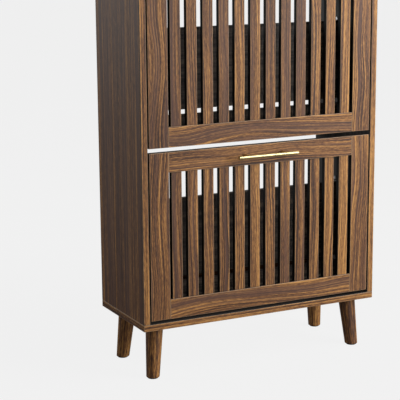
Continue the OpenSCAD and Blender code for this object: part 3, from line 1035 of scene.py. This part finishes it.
PIN_RADII = {"pivot_pins": 4 * MM, "guide_pins": 3 * MM, "stop_pins": 4 * MM}
PIN_CHAMFER = 0.5 * MM
# Gap between a pin's collar and the side of the tray.
COLLAR_GAP = 0.3 * MM


def make_pins():
    """Pivot, guide and stop pins with chamfered ends, standing in from the side panels."""
    zinc = zinc_plate()
    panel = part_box("right_side_panel")[0].x
    for node, radius in PIN_RADII.items():
        boxes = islands(node)
        length = boxes[0][1].x - boxes[0][0].x
        profile = [(radius - PIN_CHAMFER, 0.0), (radius, -PIN_CHAMFER)]
        wide = (boxes[0][1].z - boxes[0][0].z) / 2
        if wide > radius + PIN_CHAMFER:
            reach = length - (max(abs(boxes[0][0].x), abs(boxes[0][1].x)) - panel)
            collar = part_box("upper_tray_right_side")[1].x
            top = reach - (panel - collar) + COLLAR_GAP
            soft = PIN_CHAMFER / 2
            profile += [(radius, -top), (wide - soft, -top), (wide, -top - soft),
                        (wide, -reach), (radius, -reach)]
        profile.append((radius, -length))
        template = to_mesh(lathe(profile[::-1], SMALL_ROUND), "pin", [zinc])
        places = []
        for low, high in boxes:
            inner = math.copysign(1.0, -(low.x + high.x))
            spot = (low + high) / 2
            spot.x = high.x if inner > 0 else low.x
            places.append((spot, Vector((inner, 0, 0))))
        set_out(node, template, places, zinc)


def make_glides():
    """Round plastic glides under the legs."""
    plastic = shared("black_glide_plastic", moulded_plastic)
    boxes = islands("leg_glides")
    radius = (boxes[0][1].x - boxes[0][0].x) / 2
    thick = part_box("front_left_leg")[0].z
    soft = 0.5 * MM
    profile = [(radius - soft, 0.0), (radius, soft), (radius, thick), (radius * 0.5, thick)]
    template = to_mesh(lathe(profile, SMALL_ROUND), "glide", [plastic])
    places = [(Vector(((a.x + b.x) / 2, (a.y + b.y) / 2, a.z)), (0, 0, 1)) for a, b in boxes]
    set_out("leg_glides", template, places, plastic)


def finish_hidden_parts():
    """Materials on the nodes that show only when the cabinet is taken apart."""
    zinc = zinc_plate()
    beech = shared("raw_beech", turned_beech)
    finishes = {
        "leg_bolts": zinc, "leg_inserts": zinc, "cam_bolts": zinc, "case_dowels": beech,
        "upper_frame_dowels": beech, "lower_frame_dowels": beech}
    for node, material in finishes.items():
        slots = NODES[node].data.materials
        slots.clear()
        slots.append(material)


# ---- Stage ----

# Share of the floor's look that takes light and shadow, and the tone that other things see.
SHADOW_SHARE = 0.03
FLOOR_SEEN_BY_OTHERS = (0.3, 0.3, 0.3, 1.0)


def make_floor():
    """A pale round floor that is mostly its own light, so that shadows stay faint."""
    stage = settings().stage
    finish = Finish("pale_floor")
    grain = finish.speckle(3.0, 2.0, 0.5)
    tone = (stage.pale, stage.pale, stage.pale, 1.0)
    glow = finish.node("ShaderNodeEmission", None, {"Color": tone, "Strength": 1.0})
    matt = finish.node("ShaderNodeBsdfDiffuse", None, {
        "Color": tone, "Roughness": finish.between(grain, 0.0, 1.0)})
    seen = finish.node("ShaderNodeLightPath", out="Is Camera Ray")
    shown = finish.node("ShaderNodeMixShader", None, {0: SHADOW_SHARE, 1: glow, 2: matt})
    dim = finish.node("ShaderNodeBsdfDiffuse", None, {"Color": FLOOR_SEEN_BY_OTHERS})
    mixed = finish.node("ShaderNodeMixShader", None, {0: seen, 1: dim, 2: shown})
    finish.node("ShaderNodeOutputMaterial", None, {"Surface": mixed})
    form = bmesh.new()
    bmesh.ops.create_circle(form, cap_ends=True, radius=stage.floor_size, segments=96)
    mesh = bare_mesh(form, "floor")
    mesh.materials.append(finish.material)
    floor = add_object("floor", mesh)


def make_world():
    """A pale backdrop for the camera and a softer light from all round for everything else."""
    stage = settings().stage
    world = bpy.data.worlds.new("studio")
    bpy.context.scene.world = world
    world.use_nodes = True
    sky = Nodes(world.node_tree)
    seen = sky.node("ShaderNodeLightPath", out="Is Camera Ray")
    strength = sky.node("ShaderNodeMapRange", None, {
        "Value": seen, "To Min": stage.fill, "To Max": stage.pale})
    glow = sky.node("ShaderNodeBackground", None, {
        "Color": (1.0, 1.0, 1.0, 1.0), "Strength": strength})
    sky.node("ShaderNodeOutputWorld", None, {"Surface": glow})


# Each light's place, size and tint. Their powers are settings.
LIGHTS = {
    "key": ((1.35, -1.4, 1.75), 1.6, (1.0, 0.98, 0.95)),
    "sheen": ((2.1, -2.6, 1.0), 1.3, (0.98, 0.99, 1.0)),
    "side": ((-1.9, 2.1, 1.3), 1.6, (0.96, 0.99, 1.0))}


def add_light(name, place, aim, size, power, tint):
    """A square soft light that looks at a point."""
    lamp = bpy.data.lights.new(name, "AREA")
    lamp.shape = "SQUARE"
    lamp.size = size
    lamp.energy = power
    lamp.color = tint
    light = add_object(name, lamp)
    light.visible_camera = False
    light.location = place
    light.rotation_euler = (Vector(aim) - Vector(place)).to_track_quat("-Z", "Y").to_euler()


def make_camera():
    """The camera, left of the doors and a little above the cabinet."""
    stage = settings().stage
    lens = bpy.data.cameras.new("view")
    lens.lens = stage.lens
    lens.sensor_width = 36.0
    lens.clip_end = 200.0
    camera = add_object("view", lens)
    ahead = Vector((
        math.sin(stage.heading) * math.cos(stage.dip),
        math.cos(stage.heading) * math.cos(stage.dip), -math.sin(stage.dip)))
    level = ahead.cross(Vector((0, 0, 1))).normalized()
    up = level.cross(ahead)
    right = level * math.cos(stage.roll) + up * math.sin(stage.roll)
    top = right.cross(ahead)
    turn = Matrix((right, top, -ahead)).transposed()
    camera.matrix_world = Matrix.Translation(Vector(stage.camera_place)) @ turn.to_4x4()
    bpy.context.scene.camera = camera


def make_stage():
    """Floor, backdrop, lights and camera."""
    stage = settings().stage
    middle = (CAD_BOX[0] + CAD_BOX[1]) / 2
    make_floor()
    make_world()
    for name, (place, size, tint) in LIGHTS.items():
        add_light(name, place, middle, size, getattr(stage, name), tint)
    make_camera()
    bpy.context.scene.view_settings.view_transform = "Standard"


# ---- Operators ----

class Steps:
    """What the operators share: each runs its steps in order."""

    def execute(self, context):
        for step in self.steps:
            step()
        return {"FINISHED"}


class CABINET_OT_case_boards(Steps, bpy.types.Operator):
    """Make the side panels, the top and bottom boards and the back rails"""

    bl_idname = "cabinet.case_boards"
    bl_label = "Case boards"
    steps = (make_case_boards,)


class CABINET_OT_legs(Steps, bpy.types.Operator):
    """Make the four legs and their glides"""

    bl_idname = "cabinet.legs"
    bl_label = "Legs"
    steps = (make_legs, make_glides)


class CABINET_OT_door_frames(Steps, bpy.types.Operator):
    """Make the stiles and rails of both doors"""

    bl_idname = "cabinet.door_frames"
    bl_label = "Door frames"
    steps = (make_door_frames,)


class CABINET_OT_slats(Steps, bpy.types.Operator):
    """Set out the slats of both doors"""

    bl_idname = "cabinet.slats"
    bl_label = "Slats"
    steps = (make_slats,)


class CABINET_OT_handles(Steps, bpy.types.Operator):
    """Make the bar handles and their posts"""

    bl_idname = "cabinet.handles"
    bl_label = "Handles"
    steps = (make_handles,)


class CABINET_OT_trays(Steps, bpy.types.Operator):
    """Make the shoe trays behind the doors"""

    bl_idname = "cabinet.trays"
    bl_label = "Trays"
    steps = (make_trays,)


class CABINET_OT_fittings(Steps, bpy.types.Operator):
    """Set out the screws, cams and pins, and finish the hidden parts"""

    bl_idname = "cabinet.fittings"
    bl_label = "Fittings"
    steps = (make_screws, make_cams, make_pins, finish_hidden_parts)


class CABINET_OT_stage(Steps, bpy.types.Operator):
    """Make the floor, the backdrop, the lights and the camera"""

    bl_idname = "cabinet.stage"
    bl_label = "Stage"
    steps = (make_stage,)


OPERATORS = (
    CABINET_OT_case_boards, CABINET_OT_legs, CABINET_OT_door_frames, CABINET_OT_slats,
    CABINET_OT_handles, CABINET_OT_trays, CABINET_OT_fittings, CABINET_OT_stage)


class CABINET_PT_sidebar(bpy.types.Panel):
    """Settings and operators of the shoe cabinet"""

    bl_label = "Shoe Cabinet"
    bl_idname = "CABINET_PT_sidebar"
    bl_space_type = "VIEW_3D"
    bl_region_type = "UI"
    bl_category = "Cabinet"

    def draw(self, context):
        for label in ("boards", "slats", "handles", "fittings", "stage"):
            group = getattr(context.scene.shoe_cabinet, label)
            box = self.layout.box()
            box.label(text=label.title())
            for key in group.__annotations__:
                box.prop(group, key)
        for operator in OPERATORS:
            self.layout.operator(operator.bl_idname)


CLASSES = (
    BoardSettings, SlatSettings, HandleSettings, FittingSettings, StageSettings,
    CabinetSettings, *OPERATORS, CABINET_PT_sidebar)


def register():
    """Registers the classes and puts the settings on the scene."""
    for cls in CLASSES:
        bpy.utils.register_class(cls)
    bpy.types.Scene.shoe_cabinet = PointerProperty(type=CabinetSettings)


def unregister():
    """Takes the settings and the classes away."""
    del bpy.types.Scene.shoe_cabinet
    for cls in reversed(CLASSES):
        bpy.utils.unregister_class(cls)


def main():
    """Registers the add-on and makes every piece."""
    register()
    for operator in OPERATORS:
        group, name = operator.bl_idname.split(".")
        getattr(getattr(bpy.ops, group), name)()


if __name__ == "__main__":
    main()
